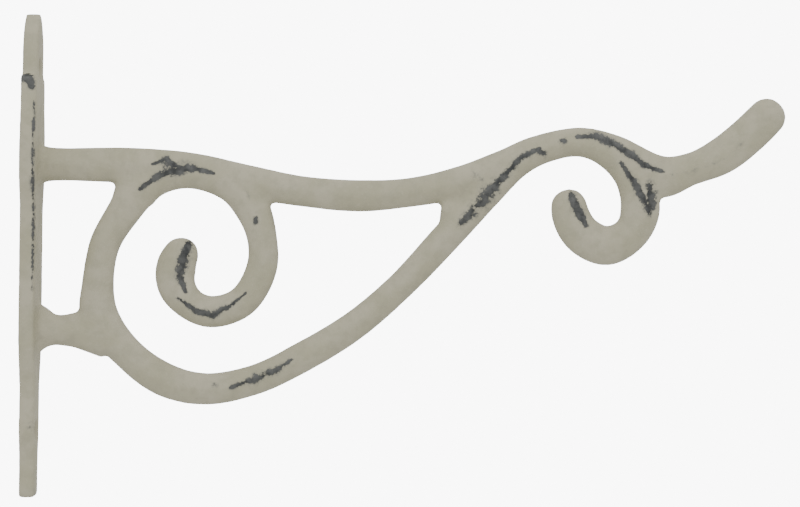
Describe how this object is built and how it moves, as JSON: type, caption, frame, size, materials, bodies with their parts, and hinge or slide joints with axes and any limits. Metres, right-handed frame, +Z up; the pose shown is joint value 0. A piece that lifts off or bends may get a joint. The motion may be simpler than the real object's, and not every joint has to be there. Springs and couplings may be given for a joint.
{
  "type": "cast iron wall bracket",
  "caption": "Scrolled cast iron wall bracket with a slim wall plate, an arm over a spiral scroll, a curled hook and an upturned tip that carries a hanging pot.",
  "frame": {"origin": "middle of the plate's back, at the wall, halfway up the plate", "axes": "+X out from the wall along the arm, +Z up, the casting symmetric about y = 0"},
  "size_m": [0.3003, 0.026, 0.191],
  "materials": {
    "antique_cream_paint": "matt grey cream paint, rubbed through to dark iron along the edges and curls"
  },
  "bodies": {
    "root": {"bracket": "antique_cream_paint"}
  },
  "joints": []
}
